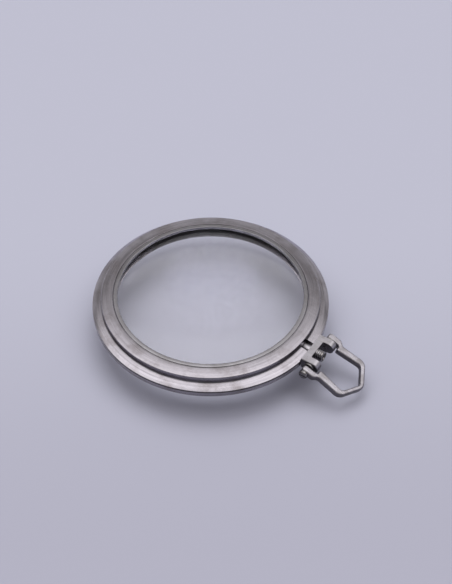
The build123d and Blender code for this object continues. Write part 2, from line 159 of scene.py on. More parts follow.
def makeWorld(spec):
    world = bpy.data.worlds.new("studio")
    scene.world = world
    world.use_nodes = True
    tree = world.node_tree
    tree.nodes.clear()
    way = addNode(tree, "ShaderNodeTexCoord").outputs["Generated"]
    height = addNode(tree, "ShaderNodeSeparateXYZ", None, Vector=way).outputs["Z"]
    above = addNode(tree, "ShaderNodeMath", {"operation": "MAXIMUM"}, in0=height,
                    in1=spec["leastHeight"]).outputs[0]
    shares = []
    for azimuth in (spec["behind"], spec["behind"] + 90):
        reach = addNode(tree, "ShaderNodeVectorMath", {"operation": "DOT_PRODUCT"}, in0=way,
                        in1=wayTo(azimuth, 0))
        shares.append(addNode(tree, "ShaderNodeMath", {"operation": "DIVIDE"}, in0=reach.outputs["Value"],
                              in1=above).outputs[0])
    back, side = shares
    side = addNode(tree, "ShaderNodeMath", {"operation": "ABSOLUTE"}, in0=side).outputs[0]
    light = spec["roomColor"][:3]
    for panel in spec["panels"]:
        # Each edge fades from nothing at its first value to full light at its second
        lit = None
        for share, edge in ((back, "from"), (back, "to"), (side, "side")):
            low, high = sorted(panel[edge])
            rising = panel[edge][0] < panel[edge][1]
            fade = addNode(tree, "ShaderNodeMapRange", {"interpolation_type": "SMOOTHSTEP"}, Value=share,
                           From_Min=low, From_Max=high, To_Min=float(not rising),
                           To_Max=float(rising)).outputs[0]
            if lit is not None:
                fade = addNode(tree, "ShaderNodeMath", {"operation": "MULTIPLY"}, in0=lit,
                               in1=fade).outputs[0]
            lit = fade
        glow = addNode(tree, "ShaderNodeVectorMath", {"operation": "SCALE"}, in0=panel["level"], Scale=lit)
        light = addNode(tree, "ShaderNodeVectorMath", {"operation": "ADD"}, in0=light,
                        in1=glow.outputs[0]).outputs[0]
    rise = addNode(tree, "ShaderNodeMapRange", {"interpolation_type": "SMOOTHSTEP"}, Value=height,
                   From_Min=sin(radians(spec["horizonFrom"])), From_Max=sin(radians(spec["horizonTo"])))
    sky = addNode(tree, "ShaderNodeMix", {"data_type": "RGBA"}, in0=rise.outputs["Result"],
                  in6=linear(spec["floorFar"]), in7=light)
    shine = addNode(tree, "ShaderNodeBackground", None, Color=sky.outputs[2], Strength=1.0)
    addNode(tree, "ShaderNodeOutputWorld", None, Surface=shine.outputs["Background"])


def makeWindow(spec):
    # The soft box's own direct light, which gives the case its shadow and leaves no second highlight on it
    data = bpy.data.lights.new("window", "SUN")
    data.energy = spec["windowStrength"]
    data.angle = radians(spec["windowAngle"])
    window = bpy.data.objects.new("window", data)
    scene.collection.objects.link(window)
    toward = wayTo(spec["behind"], spec["windowElevation"])
    window.matrix_world = Matrix.Translation(toward) @ toward.to_track_quat("Z", "Y").to_matrix().to_4x4()
    window.visible_glossy = window.visible_transmission = False


def makeFloor(spec):
    height = cadBox[0].z
    half = spec["floorSize"] / 2
    mesh = bpy.data.meshes.new("floor")
    corners = [(-half, -half, height), (half, -half, height), (half, half, height), (-half, half, height)]
    mesh.from_pydata(corners, [], [(0, 1, 2, 3)])
    floor = bpy.data.objects.new("floor", mesh)
    scene.collection.objects.link(floor)
    # Matt paper: no shine, fibres too fine to see, and painted shade that makes it a little darker away from
    # the window
    material, tree, shader, own = newMaterial("matt uncoated paper", Roughness=0.9, Specular_IOR_Level=0.0)
    away = addNode(tree, "ShaderNodeVectorMath", {"operation": "DOT_PRODUCT"}, in0=own,
                   in1=wayTo(spec["behind"], 0))
    fade = addNode(tree, "ShaderNodeMapRange", {"interpolation_type": "SMOOTHSTEP"},
                   Value=away.outputs["Value"], From_Min=spec["floorShadeFade"][0], From_Max=spec["floorShadeFade"][1])
    paper = addNode(tree, "ShaderNodeMix", {"data_type": "RGBA"}, in0=fade.outputs["Result"],
                    in6=linear(spec["floorShadedNear"]), in7=linear(spec["floorFar"]))
    tree.links.new(paper.outputs[2], shader.inputs["Base Color"])
    mesh.materials.append(material)


makeWorld(studioSpec)
makeWindow(studioSpec)
makeFloor(studioSpec)
print("studio made")


# How each steel surface was made: the lay of its marks, and how much of each kind of wear it has.
# Mark length and width, and the spacing of smudges and pits, are millimetres. The real marks are about
# 0.03 mm wide, under a seventh of a pixel, so they are drawn about ten times as coarse.
# Each steel also sets how strongly its steep faces are darkened as painted shade, and lists corners (radius,
# height, reach in millimetres) that get painted shade
steelSpecs = {
    "turned": {  # turned, then rubbed with fine paper: a satin glow that runs round with the ring
        "name": "turned stainless steel, satin",
        "lay": "round", "axis": "Z", "centre": (0, 0, 0), "turn": (0, 0, 0), "middle": 24.0,
        "color": "#B5B1B8", "stain": "#8B8486", "roughness": 0.18, "spread": 0.5,
        "markLength": 9.0, "markWidth": 0.3, "markTone": 0.15, "markDepth": 0.004,
        "smudgeSize": 5.0, "smudgeTone": 0.65, "scratchTone": 0.1, "pitSpacing": 2.0, "pitSize": 0.13,
        "wallTone": 0.42, "cornerShade": [(23.1, 1.22, 0.32), (20.55, 2.9, 0.14), (24.5, 0.45, 0.2)],
    },
    "rim": {  # turned and polished: a thin bright line of light
        "name": "turned stainless steel, polished",
        "lay": "round", "axis": "Z", "centre": (0, 0, 0), "turn": (0, 0, 0), "middle": 20.0,
        "color": "#B2B0B5", "stain": "#85817F", "roughness": 0.16, "spread": 0.4,
        "markLength": 7.0, "markWidth": 0.3, "markTone": 0.1, "markDepth": 0.003,
        "smudgeSize": 5.0, "smudgeTone": 0.4, "scratchTone": 0.2, "pitSpacing": 3.0, "pitSize": 0.08,
        "wallTone": 0.2, "cornerShade": [(19.6, 2.25, 0.2)],
    },
    "milled": {  # milled, then tumbled: evenly dull faces with small nicks, with painted shade on their sides
        "name": "milled stainless steel, tumbled",
        "lay": "along", "axis": None, "centre": (0, 0, 0), "turn": (0, 0, 0), "middle": 1.0,
        "color": "#B1AEB5", "stain": "#85807F", "roughness": 0.27, "spread": 0.0,
        "markLength": 2.5, "markWidth": 0.25, "markTone": 0.12, "markDepth": 0.004,
        "smudgeSize": 2.5, "smudgeTone": 0.6, "scratchTone": 0.35, "pitSpacing": 1.6, "pitSize": 0.09,
        "wallTone": 0.75, "cornerShade": [],
    },
    "tube": {  # turned and left as it came off the tool: bright crests over dark grooves, with painted shade on its sides
        "name": "turned stainless steel, bright",
        "lay": "round", "axis": "X", "centre": (0, 0, 0), "turn": (0, radians(-90), 0), "middle": 1.2,
        "color": "#AEACAF", "stain": "#857D74", "roughness": 0.18, "spread": 0.3,
        "markLength": 2.0, "markWidth": 0.12, "markTone": 0.12, "markDepth": 0.002,
        "smudgeSize": 1.2, "smudgeTone": 0.6, "scratchTone": 0.1, "pitSpacing": 1.5, "pitSize": 0.06,
        "wallTone": 0.7, "cornerShade": [],
    },
    "screw": {  # turned and hardened: darker and a little browner than the case
        "name": "turned stainless steel, hardened",
        "lay": "round", "axis": None, "centre": (-26.65, 0, 0), "turn": (radians(90), 0, 0), "middle": 0.8,
        "color": "#A3A1A3", "stain": "#766F68", "roughness": 0.2, "spread": 0.0,
        "markLength": 1.5, "markWidth": 0.12, "markTone": 0.15, "markDepth": 0.002,
        "smudgeSize": 1.0, "smudgeTone": 0.6, "scratchTone": 0.2, "pitSpacing": 1.2, "pitSize": 0.06,
        "wallTone": 0.45, "cornerShade": [],
    },
    "washer": {  # stamped from sheet: the dullest of the steels
        "name": "stamped stainless steel",
        "lay": "round", "axis": None, "centre": (-26.65, 0, 0), "turn": (radians(90), 0, 0), "middle": 0.8,
        "color": "#A3A1A1", "stain": "#6E665E", "roughness": 0.32, "spread": 0.0,
        "markLength": 1.0, "markWidth": 0.15, "markTone": 0.15, "markDepth": 0.003,
        "smudgeSize": 0.8, "smudgeTone": 0.7, "scratchTone": 0.1, "pitSpacing": 1.0, "pitSize": 0.06,
        "wallTone": 0.5, "cornerShade": [],
    },
}

# The pendant is milled like the bow but was blasted, so it is paler and duller
steelSpecs["blasted"] = dict(steelSpecs["milled"], name="milled stainless steel, blasted", color="#C6C3C9",
                             roughness=0.36, smudgeTone=0.4)

# What all the steels share: pairs are where a noise or a slope starts to count and where it counts in full
steelWear = {
    "slant": 0.62, "mark": (0.3, 0.7), "markRoughness": (-0.04, 0.05),
    "smudge": (0.42, 0.7), "smudgeRoughness": 0.07,
    "lineTurns": ((25, 0.0), (-48, 40.0), (80, 90.0)), "lineStretch": (0.12, 0.9, 0.5),
    "line": (0.006, 0.018), "patchScale": 2.3, "patch": (0.55, 0.66),
    "pitFade": 0.5, "pitChance": 0.66, "dirtRoughness": 0.35, "cutDepth": -0.3,
    # Of the colours below, the second is shared by pits, dust and the painted shade in corners, and the third
    # is painted shade on steep faces; the next range sets which faces count as steep
    "steepFaceShade": (0.25, 0.75),
    "bareColor": "#DEDCDC", "pitAndShadeColor": "#3A3431", "scaleColor": "#3E3A3D",
}


def makeSteel(spec, wear):
    # Bare stainless steel: a neutral grey mirror blurred along its marks, with hairlines, faint stains where
    # fingers have been, small pits, and painted shade in the corners and on steep faces
    material, tree, shader, own = newMaterial(spec["name"], spec["centre"], spec["turn"], Metallic=1.0,
                                              Anisotropic=spec["spread"], Anisotropic_Rotation=0.25)
    if spec["axis"]:
        around = addNode(tree, "ShaderNodeTangent", {"direction_type": "RADIAL", "axis": spec["axis"]})
        tree.links.new(around.outputs["Tangent"], shader.inputs["Tangent"])
    part = addNode(tree, "ShaderNodeSeparateXYZ", None, in0=own).outputs
    flat = addNode(tree, "ShaderNodeCombineXYZ", None, X=part["X"], Y=part["Y"]).outputs[0]
    radius = addNode(tree, "ShaderNodeVectorMath", {"operation": "LENGTH"}, in0=flat).outputs["Value"]
    height = addNode(tree, "ShaderNodeMath", {"operation": "ABSOLUTE"}, in0=part["Z"]).outputs[0]
    if spec["lay"] == "round":
        # Once round the axis at the middle radius, and outwards and up in steps of one mark
        way = addNode(tree, "ShaderNodeVectorMath", {"operation": "NORMALIZE"}, in0=flat).outputs[0]
        laid = addNode(tree, "ShaderNodeVectorMath", {"operation": "SCALE"}, in0=way,
                       Scale=spec["middle"] / spec["markLength"]).outputs[0]
        slant = addNode(tree, "ShaderNodeMath", {"operation": "MULTIPLY_ADD"}, in0=part["Z"],
                        in1=wear["slant"], in2=radius).outputs[0]
        step = addNode(tree, "ShaderNodeMath", {"operation": "DIVIDE"}, in0=slant,
                       in1=spec["markWidth"]).outputs[0]
        rise = addNode(tree, "ShaderNodeCombineXYZ", None, Z=step).outputs[0]
        laid = addNode(tree, "ShaderNodeVectorMath", {"operation": "ADD"}, in0=laid, in1=rise).outputs[0]
    else:
        across = 1 / spec["markWidth"]
        laid = addNode(tree, "ShaderNodeMapping", None, Vector=own,
                       Scale=(1 / spec["markLength"], across, across)).outputs[0]
    marks = addNode(tree, "ShaderNodeTexNoise", None, Vector=laid, Scale=1.0, Detail=3.0,
                    Roughness=0.65).outputs["Fac"]
    smudges = addNode(tree, "ShaderNodeTexNoise", None, Vector=own, Scale=1 / spec["smudgeSize"], Detail=4.0,
                      Roughness=0.6).outputs["Fac"]
    smudge = addNode(tree, "ShaderNodeMapRange", {"interpolation_type": "SMOOTHSTEP"}, Value=smudges,
                     From_Min=wear["smudge"][0], From_Max=wear["smudge"][1]).outputs[0]

    # Hairlines: thin level lines of a stretched noise, in three directions, each kept only in patches
    lines = None
    for turn, shift in wear["lineTurns"]:
        stretched = addNode(tree, "ShaderNodeMapping", None, Vector=own, Location=(shift, 0, 0),
                            Rotation=(0, 0, radians(turn)), Scale=wear["lineStretch"]).outputs[0]
        field = addNode(tree, "ShaderNodeTexNoise", None, Vector=stretched, Scale=1.0, Detail=1.0)
        level = addNode(tree, "ShaderNodeMath", {"operation": "SUBTRACT"}, in0=field.outputs["Fac"], in1=0.5)
        away = addNode(tree, "ShaderNodeMath", {"operation": "ABSOLUTE"}, in0=level.outputs[0])
        line = addNode(tree, "ShaderNodeMapRange", None, Value=away.outputs[0], From_Min=wear["line"][0],
                       From_Max=wear["line"][1], To_Min=1.0, To_Max=0.0)
        patch = addNode(tree, "ShaderNodeTexNoise", None, Vector=stretched, Scale=wear["patchScale"],
                        Detail=0.0)
        kept = addNode(tree, "ShaderNodeMapRange", None, Value=patch.outputs["Fac"],
                       From_Min=wear["patch"][0], From_Max=wear["patch"][1])
        line = addNode(tree, "ShaderNodeMath", {"operation": "MULTIPLY"}, in0=line.outputs[0],
                       in1=kept.outputs[0]).outputs[0]
        if lines is not None:
            line = addNode(tree, "ShaderNodeMath", {"operation": "MAXIMUM"}, in0=lines, in1=line).outputs[0]
        lines = line

    # Pits and specks of dust, in about a third of the cells
    cells = addNode(tree, "ShaderNodeTexVoronoi", None, Vector=own, Scale=1 / spec["pitSpacing"])
    size = spec["pitSize"] / spec["pitSpacing"]
    near = addNode(tree, "ShaderNodeMapRange", None, Value=cells.outputs["Distance"],
                   From_Min=size * wear["pitFade"], From_Max=size, To_Min=1.0, To_Max=0.0).outputs[0]
    chance = addNode(tree, "ShaderNodeSeparateColor", None, in0=cells.outputs["Color"]).outputs[0]
    chosen = addNode(tree, "ShaderNodeMath", {"operation": "GREATER_THAN"}, in0=chance,
                     in1=wear["pitChance"]).outputs[0]
    pits = addNode(tree, "ShaderNodeMath", {"operation": "MULTIPLY"}, in0=near, in1=chosen).outputs[0]

    # Painted shade in the corners, darkest in the corner itself and broken up by noise, joined with the pits
    pitsAndCornerShade = pits
    for cornerRadius, cornerHeight, reach in spec["cornerShade"]:
        out = addNode(tree, "ShaderNodeMath", {"operation": "SUBTRACT"}, in0=radius, in1=cornerRadius)
        up = addNode(tree, "ShaderNodeMath", {"operation": "SUBTRACT"}, in0=height, in1=cornerHeight)
        gap = addNode(tree, "ShaderNodeCombineXYZ", None, X=out.outputs[0], Y=up.outputs[0]).outputs[0]
        gap = addNode(tree, "ShaderNodeVectorMath", {"operation": "LENGTH"}, in0=gap).outputs["Value"]
        film = addNode(tree, "ShaderNodeMapRange", {"interpolation_type": "SMOOTHSTEP"}, Value=gap,
                       From_Max=reach, To_Min=1.0, To_Max=0.0).outputs[0]
        broken = addNode(tree, "ShaderNodeMath", {"operation": "MULTIPLY"}, in0=film, in1=smudges).outputs[0]
        pitsAndCornerShade = addNode(tree, "ShaderNodeMath", {"operation": "MAXIMUM"}, in0=pitsAndCornerShade, in1=broken).outputs[0]

    # Painted shade: steep faces are darkened toward a dark grey, and faces that lie flat are left as they are
    normal = addNode(tree, "ShaderNodeTexCoord").outputs["Normal"]
    facing = addNode(tree, "ShaderNodeSeparateXYZ", None, in0=normal).outputs["Z"]
    steepFaceShade = addNode(tree, "ShaderNodeMapRange", {"interpolation_type": "SMOOTHSTEP"}, Value=facing,
                      From_Min=wear["steepFaceShade"][0], From_Max=wear["steepFaceShade"][1], To_Min=spec["wallTone"],
                      To_Max=0.0).outputs[0]

    stained = addNode(tree, "ShaderNodeMath", {"operation": "MULTIPLY"}, in0=smudge,
                      in1=spec["smudgeTone"]).outputs[0]
    lift = addNode(tree, "ShaderNodeMapRange", None, Value=marks, From_Min=wear["mark"][0],
                   From_Max=wear["mark"][1], To_Min=1 - spec["markTone"],
                   To_Max=1 + spec["markTone"]).outputs[0]
    cut = addNode(tree, "ShaderNodeMath", {"operation": "MULTIPLY"}, in0=lines,
                  in1=spec["scratchTone"]).outputs[0]
    tone = addNode(tree, "ShaderNodeMix", {"data_type": "RGBA"}, in0=stained, in6=linear(spec["color"]),
                   in7=linear(spec["stain"])).outputs[2]
    tone = addNode(tree, "ShaderNodeVectorMath", {"operation": "SCALE"}, in0=tone, Scale=lift).outputs[0]
    for share, color in ((cut, "bareColor"), (pitsAndCornerShade, "pitAndShadeColor"), (steepFaceShade, "scaleColor")):
        tone = addNode(tree, "ShaderNodeMix", {"data_type": "RGBA"}, in0=share, in6=tone,
                       in7=linear(wear[color])).outputs[2]
    tree.links.new(tone, shader.inputs["Base Color"])

    rough = addNode(tree, "ShaderNodeMapRange", None, Value=marks, From_Min=wear["mark"][0],
                    From_Max=wear["mark"][1], To_Min=spec["roughness"] + wear["markRoughness"][0],
                    To_Max=spec["roughness"] + wear["markRoughness"][1]).outputs[0]
    rough = addNode(tree, "ShaderNodeMath", {"operation": "MULTIPLY_ADD"}, in0=smudge,
                    in1=wear["smudgeRoughness"], in2=rough).outputs[0]
    rough = addNode(tree, "ShaderNodeMath", {"operation": "MULTIPLY_ADD", "use_clamp": True}, in0=pitsAndCornerShade,
                    in1=wear["dirtRoughness"], in2=rough).outputs[0]
    tree.links.new(rough, shader.inputs["Roughness"])

    sunk = addNode(tree, "ShaderNodeMath", {"operation": "ADD"}, in0=lines, in1=pits).outputs[0]
    relief = addNode(tree, "ShaderNodeMath", {"operation": "MULTIPLY_ADD"}, in0=sunk, in1=wear["cutDepth"],
                     in2=marks).outputs[0]
    bump = addNode(tree, "ShaderNodeBump", None, Strength=1.0, Distance=spec["markDepth"] * mm, Height=relief)
    tree.links.new(bump.outputs["Normal"], shader.inputs["Normal"])
    return material


# Soft black parts: how each was made, with the size of its grain and dust in millimetres
blackSpecs = {
    "nylon": {"name": "black nylon, moulded", "color": "#0C0C0D", "worn": "#1A1A1C", "roughness": 0.42,
              "grainSize": 0.3, "grainDepth": 0.01, "dustSpacing": 1.6, "dustSize": 0.07},
    "casing": {"name": "black acetal, moulded", "color": "#0B0B0C", "worn": "#1C1B1B", "roughness": 0.4,
               "grainSize": 0.35, "grainDepth": 0.012, "dustSpacing": 1.8, "dustSize": 0.08},
    "rubber": {"name": "black nitrile rubber, moulded", "color": "#101011", "worn": "#232222",
               "roughness": 0.62, "grainSize": 0.25, "grainDepth": 0.012, "dustSpacing": 1.4,
               "dustSize": 0.08},
}

# What they share: pairs as for the steels
blackWear = {"rubScale": 0.35, "rub": (0.4, 0.72), "wornRoughness": 0.15, "dustFade": 0.5, "dustTone": 0.5,
             "dustColor": "#8A8785"}


def makeBlack(spec, wear):
    # Black polymer: nearly no colour, a soft sheen, a fine mould grain and grey specks of dust
    material, tree, shader, own = newMaterial(spec["name"])
    grain = addNode(tree, "ShaderNodeTexNoise", None, Vector=own, Scale=1 / spec["grainSize"], Detail=3.0,
                    Roughness=0.6).outputs["Fac"]
    rubbed = addNode(tree, "ShaderNodeTexNoise", None, Vector=own, Scale=wear["rubScale"],
                     Detail=3.0).outputs["Fac"]
    worn = addNode(tree, "ShaderNodeMapRange", {"interpolation_type": "SMOOTHSTEP"}, Value=rubbed,
                   From_Min=wear["rub"][0], From_Max=wear["rub"][1]).outputs[0]
    cells = addNode(tree, "ShaderNodeTexVoronoi", None, Vector=own, Scale=1 / spec["dustSpacing"])
    size = spec["dustSize"] / spec["dustSpacing"]
    dust = addNode(tree, "ShaderNodeMapRange", None, Value=cells.outputs["Distance"],
                   From_Min=size * wear["dustFade"], From_Max=size, To_Min=wear["dustTone"],
                   To_Max=0.0).outputs[0]
    tone = addNode(tree, "ShaderNodeMix", {"data_type": "RGBA"}, in0=worn, in6=linear(spec["color"]),
                   in7=linear(spec["worn"])).outputs[2]
    tone = addNode(tree, "ShaderNodeMix", {"data_type": "RGBA"}, in0=dust, in6=tone,
                   in7=linear(wear["dustColor"])).outputs[2]
    tree.links.new(tone, shader.inputs["Base Color"])
    rough = addNode(tree, "ShaderNodeMapRange", None, Value=worn, To_Min=spec["roughness"],
                    To_Max=spec["roughness"] + wear["wornRoughness"]).outputs[0]
    tree.links.new(rough, shader.inputs["Roughness"])
    bump = addNode(tree, "ShaderNodeBump", None, Strength=1.0, Distance=spec["grainDepth"] * mm, Height=grain)
    tree.links.new(bump.outputs["Normal"], shader.inputs["Normal"])
    return material


# Crystals: smears, dust and a patch of painted light, with sizes and places in millimetres
glassSpec = {
    "color": "#FCFCFD", "smearSize": 8.0, "smear": (0.45, 0.75), "smearRoughness": 0.03,
    "dustColor": "#B9B7B5", "dustSpacing": 3.4, "dustSize": 0.07, "dustFade": 0.4, "dustTone": 0.35,
    "filmColor": "#C6C6DA", "film": 0.12, "filmPlace": (-3.6, 5.4, 0), "filmFull": 5.0, "filmReach": 14.0,
    "bandScale": 0.12, "band": (0.35, 0.65), "bandTone": (0.6, 1.4),
    "through": (0.972, 0.972, 0.974, 1),
}


def makeGlass(spec):
    # Mineral glass: clear and hardly tinted, with a faint reflection of the studio at each face, a few specks
    # of dust and a patch of painted light
    material, tree, shader, own = newMaterial("mineral glass, polished", Transmission_Weight=1.0, IOR=1.5)
    smears = addNode(tree, "ShaderNodeTexNoise", None, Vector=own, Scale=1 / spec["smearSize"], Detail=3.0)
    rough = addNode(tree, "ShaderNodeMapRange", None, Value=smears.outputs["Fac"], From_Min=spec["smear"][0],
                    From_Max=spec["smear"][1], To_Max=spec["smearRoughness"]).outputs[0]
    tree.links.new(rough, shader.inputs["Roughness"])
    cells = addNode(tree, "ShaderNodeTexVoronoi", None, Vector=own, Scale=1 / spec["dustSpacing"])
    size = spec["dustSize"] / spec["dustSpacing"]
    dust = addNode(tree, "ShaderNodeMapRange", None, Value=cells.outputs["Distance"],
                   From_Min=size * spec["dustFade"], From_Max=size, To_Min=spec["dustTone"],
                   To_Max=0.0).outputs[0]
    tone = addNode(tree, "ShaderNodeMix", {"data_type": "RGBA"}, in0=dust, in6=linear(spec["color"]),
                   in7=linear(spec["dustColor"])).outputs[2]
    tree.links.new(tone, shader.inputs["Base Color"])

    # Painted light: a pale diffuse veil in streaky bands, strongest behind the middle, that lightens the
    # shadow seen through the crystal and stands in for its pale reflections
    bands = addNode(tree, "ShaderNodeTexNoise", None, Vector=own, Scale=spec["bandScale"], Detail=3.0,
                    Distortion=1.5)
    streak = addNode(tree, "ShaderNodeMapRange", None, Value=bands.outputs["Fac"], From_Min=spec["band"][0],
                     From_Max=spec["band"][1], To_Min=spec["film"] * spec["bandTone"][0],
                     To_Max=spec["film"] * spec["bandTone"][1]).outputs[0]
    away = addNode(tree, "ShaderNodeVectorMath", {"operation": "MULTIPLY"}, in0=own, in1=(1, 1, 0)).outputs[0]
    away = addNode(tree, "ShaderNodeVectorMath", {"operation": "DISTANCE"}, in0=away,
                   in1=spec["filmPlace"]).outputs["Value"]
    hold = addNode(tree, "ShaderNodeMapRange", {"interpolation_type": "SMOOTHSTEP"}, Value=away,
                   From_Min=spec["filmFull"], From_Max=spec["filmReach"], To_Min=1.0, To_Max=0.0).outputs[0]
    film = addNode(tree, "ShaderNodeMath", {"operation": "MULTIPLY"}, in0=streak, in1=hold).outputs[0]
    paintedLightVeil = addNode(tree, "ShaderNodeBsdfDiffuse", None, Color=linear(spec["filmColor"]))
    surface = addNode(tree, "ShaderNodeMixShader", None, in0=film, in1=shader.outputs["BSDF"],
                      in2=paintedLightVeil.outputs["BSDF"]).outputs["Shader"]

    # Light on its way to the pieces below goes straight through, so that they are lit as if by the open sky
    clear = addNode(tree, "ShaderNodeBsdfTransparent", None, Color=spec["through"])
    path = addNode(tree, "ShaderNodeLightPath")
    for ray in ("Is Shadow Ray", "Is Diffuse Ray"):
        surface = addNode(tree, "ShaderNodeMixShader", None, in0=path.outputs[ray], in1=surface,
                          in2=clear.outputs["BSDF"]).outputs["Shader"]
    tree.links.new(surface, tree.nodes["Material Output"].inputs["Surface"])
    return material


steels = {key: makeSteel(spec, steelWear) for key, spec in steelSpecs.items()}
blacks = {key: makeBlack(spec, blackWear) for key, spec in blackSpecs.items()}
glass = makeGlass(glassSpec)
print("materials made")


def newTree(name, sockets):
    # A Geometry Nodes tree with one named input for each size
    tree = bpy.data.node_groups.new(name, "GeometryNodeTree")
    tree.interface.new_socket("Geometry", in_out="INPUT", socket_type="NodeSocketGeometry")
    for label, kind in sockets.items():
        tree.interface.new_socket(label, in_out="INPUT", socket_type="NodeSocket" + kind)
    tree.interface.new_socket("Geometry", in_out="OUTPUT", socket_type="NodeSocketGeometry")
    return tree, addNode(tree, "NodeGroupInput").outputs


def endTree(tree, geometry, inputs):
    # Smooth faces with crisp edges at real corners, then one plain mesh with its material
    smooth = addNode(tree, "GeometryNodeSetShadeSmooth", {"domain": "FACE"}, Geometry=geometry,
                     Shade_Smooth=True)
    bend = addNode(tree, "GeometryNodeInputMeshEdgeAngle").outputs["Unsigned Angle"]
    sharp = addNode(tree, "FunctionNodeCompare", {"data_type": "FLOAT", "operation": "GREATER_THAN"},
                    in0=bend, in1=inputs["Crease Angle"])
    crisp = addNode(tree, "GeometryNodeSetShadeSmooth", {"domain": "EDGE"}, Geometry=smooth.outputs[0],
                    Selection=sharp.outputs[0], Shade_Smooth=False)
    whole = addNode(tree, "GeometryNodeRealizeInstances", None, in0=crisp.outputs[0])
    coated = addNode(tree, "GeometryNodeSetMaterial", None, Geometry=whole.outputs[0],
                     Material=inputs["Material"])
    addNode(tree, "NodeGroupOutput", None, in0=coated.outputs[0])


def turnedTree():
    # Turns a profile, drawn as radius and height, round the Z axis; Wrap is 1 for a closed profile
    tree, inputs = newTree("turned profile", {
        "Wrap": "Int", "Segments": "Int", "Round Steps": "Int", "Crease Angle": "Float",
        "Material": "Material"})
    line = addNode(tree, "GeometryNodeMeshToCurve", None, in0=inputs["Geometry"])
    corner = addNode(tree, "GeometryNodeInputNamedAttribute", {"data_type": "FLOAT"}, Name="corner")
    eased = addNode(tree, "GeometryNodeFilletCurve", {"mode": "POLY"}, Curve=line.outputs[0],
                    Count=inputs["Round Steps"], Radius=corner.outputs["Attribute"], Limit_Radius=True)
    total = addNode(tree, "GeometryNodeAttributeDomainSize", {"component": "CURVE"}, in0=eased.outputs[0])
    points = total.outputs["Point Count"]
    rows = addNode(tree, "ShaderNodeMath", {"operation": "ADD"}, in0=points, in1=inputs["Wrap"])
    columns = addNode(tree, "ShaderNodeMath", {"operation": "ADD"}, in0=inputs["Segments"], in1=1.0)
    sheet = addNode(tree, "GeometryNodeMeshGrid", None, Size_X=1.0, Size_Y=1.0,
                    Vertices_X=columns.outputs[0], Vertices_Y=rows.outputs[0])
    spot = addNode(tree, "GeometryNodeInputPosition").outputs[0]
    place = addNode(tree, "ShaderNodeSeparateXYZ", None, in0=spot)
    last = addNode(tree, "ShaderNodeMath", {"operation": "SUBTRACT"}, in0=rows.outputs[0], in1=1.0)
    across = addNode(tree, "ShaderNodeMath", {"operation": "ADD"}, in0=place.outputs["Y"], in1=0.5)
    row = addNode(tree, "ShaderNodeMath", {"operation": "MULTIPLY"}, in0=across.outputs[0],
                  in1=last.outputs[0])
    whole = addNode(tree, "ShaderNodeMath", {"operation": "ROUND"}, in0=row.outputs[0])
    index = addNode(tree, "ShaderNodeMath", {"operation": "MODULO"}, in0=whole.outputs[0], in1=points)
    sampled = addNode(tree, "GeometryNodeSampleIndex", {"data_type": "FLOAT_VECTOR", "domain": "POINT"},
                      Geometry=eased.outputs[0], Value=spot, Index=index.outputs[0])
    drawn = addNode(tree, "ShaderNodeSeparateXYZ", None, in0=sampled.outputs[0])
    around = addNode(tree, "ShaderNodeMath", {"operation": "ADD"}, in0=place.outputs["X"], in1=0.5)
    angle = addNode(tree, "ShaderNodeMath", {"operation": "MULTIPLY"}, in0=around.outputs[0], in1=2 * pi)
    sides = []
    for wave in ("COSINE", "SINE"):
        swing = addNode(tree, "ShaderNodeMath", {"operation": wave}, in0=angle.outputs[0])
        sides.append(addNode(tree, "ShaderNodeMath", {"operation": "MULTIPLY"}, in0=swing.outputs[0],
                             in1=drawn.outputs["X"]).outputs[0])
    spun = addNode(tree, "ShaderNodeCombineXYZ", None, X=sides[0], Y=sides[1], Z=drawn.outputs["Z"])
    turned = addNode(tree, "GeometryNodeSetPosition", None, Geometry=sheet.outputs["Mesh"],
                     Position=spun.outputs[0])
    joined = addNode(tree, "GeometryNodeMergeByDistance", None, Geometry=turned.outputs[0],
                     Distance=seamDistance)
    endTree(tree, joined.outputs[0], inputs)
    return tree


